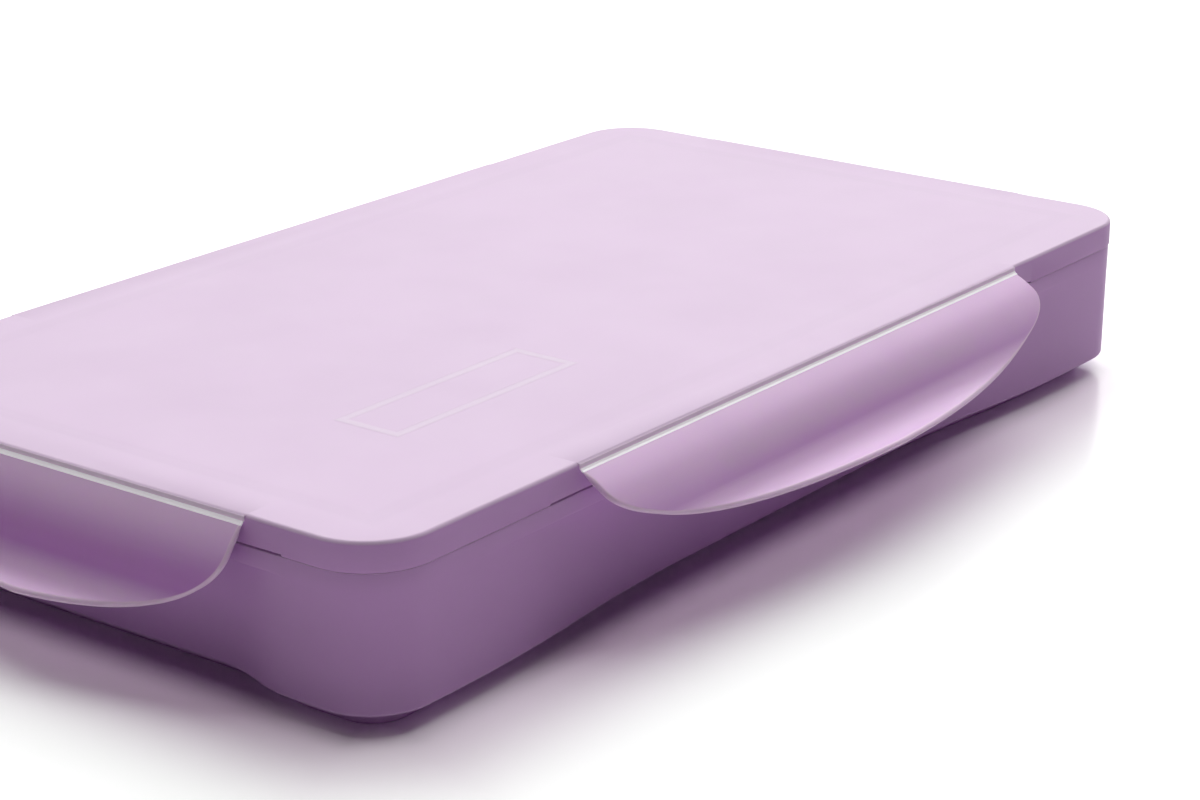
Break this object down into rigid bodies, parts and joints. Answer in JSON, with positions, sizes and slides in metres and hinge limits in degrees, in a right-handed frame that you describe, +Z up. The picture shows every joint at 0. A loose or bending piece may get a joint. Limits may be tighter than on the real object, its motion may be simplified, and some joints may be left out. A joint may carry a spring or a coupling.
{
  "type": "gouache paint set box",
  "caption": "Shallow rectangular paint box with recessed side walls; its lid is held by curved living-hinge latches and covers a lift-out mixing palette over a rack of filled paint cups.",
  "frame": {"origin": "centre of the flat face that the box rests on", "axes": "+X along the long sides, +Y towards the back, away from the unfastened front latch; +Z up"},
  "size_m": [0.3548, 0.2193, 0.0435],
  "materials": {
    "tray_shell": "satin moulded polypropylene, lilac",
    "lid_shell": "satin moulded polypropylene, lilac",
    "latches": "satin moulded polypropylene, lilac",
    "hinge_webs": "polypropylene, stress-whitened where it bends",
    "mixing_palette": "gloss white",
    "cup_rack": "satin white",
    "cups": "semi-gloss, milky white",
    "paint_01": "moist gouache, titanium white",
    "paint_02": "moist gouache, ivory",
    "paint_03": "moist gouache, lemon yellow",
    "paint_04": "moist gouache, middle yellow",
    "paint_05": "moist gouache, deep yellow",
    "paint_06": "moist gouache, orange",
    "paint_07": "moist gouache, vermilion",
    "paint_08": "moist gouache, scarlet",
    "paint_09": "moist gouache, crimson",
    "paint_10": "moist gouache, peach",
    "paint_11": "moist gouache, coral",
    "paint_12": "moist gouache, rose",
    "paint_13": "moist gouache, pink",
    "paint_14": "moist gouache, magenta",
    "paint_15": "moist gouache, lilac",
    "paint_16": "moist gouache, violet",
    "paint_17": "moist gouache, deep violet",
    "paint_18": "moist gouache, lavender blue",
    "paint_19": "moist gouache, sky blue",
    "paint_20": "moist gouache, cerulean",
    "paint_21": "moist gouache, cobalt blue",
    "paint_22": "moist gouache, ultramarine",
    "paint_23": "moist gouache, prussian blue",
    "paint_24": "moist gouache, turquoise",
    "paint_25": "moist gouache, mint",
    "paint_26": "moist gouache, viridian",
    "paint_27": "moist gouache, emerald",
    "paint_28": "moist gouache, grass green",
    "paint_29": "moist gouache, yellow green",
    "paint_30": "moist gouache, olive",
    "paint_31": "moist gouache, sap green",
    "paint_32": "moist gouache, yellow ochre",
    "paint_33": "moist gouache, raw sienna",
    "paint_34": "moist gouache, burnt sienna",
    "paint_35": "moist gouache, burnt umber",
    "paint_36": "moist gouache, ivory black"
  },
  "bodies": {
    "tray": {"tray_shell": "tray_shell", "cup_rack": "cup_rack", "cups_row_1": "cups", "cups_row_2": "cups", "cups_row_3": "cups", "cups_row_4": "cups", "paint_01": "paint_01", "paint_02": "paint_02", "paint_03": "paint_03", "paint_04": "paint_04", "paint_05": "paint_05", "paint_06": "paint_06", "paint_07": "paint_07", "paint_08": "paint_08", "paint_09": "paint_09", "paint_10": "paint_10", "paint_11": "paint_11", "paint_12": "paint_12", "paint_13": "paint_13", "paint_14": "paint_14", "paint_15": "paint_15", "paint_16": "paint_16", "paint_17": "paint_17", "paint_18": "paint_18", "paint_19": "paint_19", "paint_20": "paint_20", "paint_21": "paint_21", "paint_22": "paint_22", "paint_23": "paint_23", "paint_24": "paint_24", "paint_25": "paint_25", "paint_26": "paint_26", "paint_27": "paint_27", "paint_28": "paint_28", "paint_29": "paint_29", "paint_30": "paint_30", "paint_31": "paint_31", "paint_32": "paint_32", "paint_33": "paint_33", "paint_34": "paint_34", "paint_35": "paint_35", "paint_36": "paint_36"},
    "lid": {"lid_shell": "lid_shell", "hinge_web_front": "hinge_webs", "hinge_web_right": "hinge_webs", "hinge_web_back": "hinge_webs", "hinge_web_left": "hinge_webs"},
    "latch_front": {"latch_front": "latches"},
    "latch_right": {"latch_right": "latches"},
    "latch_back": {"latch_back": "latches"},
    "latch_left": {"latch_left": "latches"},
    "palette": {"mixing_palette": "mixing_palette"}
  },
  "joints": [
    {"name": "lid_lift", "type": "slide", "parent": "tray", "child": "lid", "axis": [0, 0, 1], "range_m": [0, 0.12]},
    {"name": "palette_lift", "type": "slide", "parent": "tray", "child": "palette", "axis": [0, 0, 1], "range_m": [0, 0.06]},
    {"name": "latch_front_hinge", "type": "hinge", "parent": "lid", "child": "latch_front", "pos_m": [0, -0.08975, 0.04175], "axis": [-1, 0, 0], "range_deg": [-20.6, 99.4]},
    {"name": "latch_right_hinge", "type": "hinge", "parent": "lid", "child": "latch_right", "pos_m": [0.16075, 0, 0.04175], "axis": [0, -1, 0], "range_deg": [0, 120]},
    {"name": "latch_back_hinge", "type": "hinge", "parent": "lid", "child": "latch_back", "pos_m": [0, 0.08975, 0.04175], "axis": [1, 0, 0], "range_deg": [0, 120]},
    {"name": "latch_left_hinge", "type": "hinge", "parent": "lid", "child": "latch_left", "pos_m": [-0.16075, 0, 0.04175], "axis": [0, 1, 0], "range_deg": [0, 120]}
  ],
  "couplings": [
    {"joint": "palette_lift", "follows": "lid_lift", "ratio": 0.5}
  ]
}
